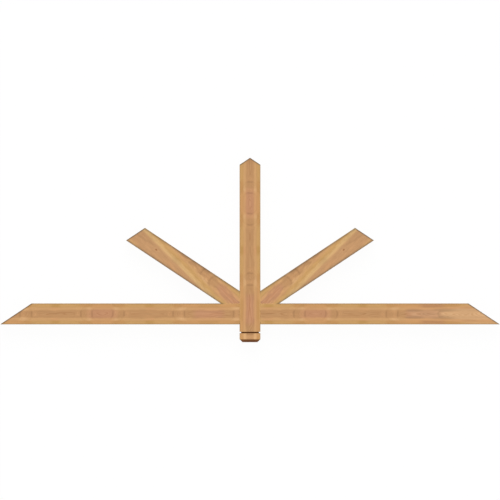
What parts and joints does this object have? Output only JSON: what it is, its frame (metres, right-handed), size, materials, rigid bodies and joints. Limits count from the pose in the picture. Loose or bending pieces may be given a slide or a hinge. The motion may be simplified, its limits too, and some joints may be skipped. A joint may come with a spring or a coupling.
{
  "type": "timber gable bracket",
  "caption": "Timber gable bracket: king post halved over a level tie beam, struts fanning up to the roof slopes, and a grooved, chamfered drop below.",
  "frame": {"origin": "on the flat back, where the centre lines of king post and tie beam cross", "axes": "+X along the tie beam to the right seen from the front, +Y up the king post to the ridge, +Z from the back to the front; the bracket lies on its back, on Z = 0"},
  "size_m": [2.1336, 0.7875, 0.0889],
  "materials": {
    "post_timber": "smooth planed cedar, unfinished",
    "beam_timber": "smooth planed cedar, unfinished",
    "strut_timber": "smooth planed cedar, unfinished"
  },
  "bodies": {
    "root": {"king_post": "post_timber", "tie_beam": "beam_timber", "left_strut": "strut_timber", "right_strut": "strut_timber"}
  },
  "joints": []
}
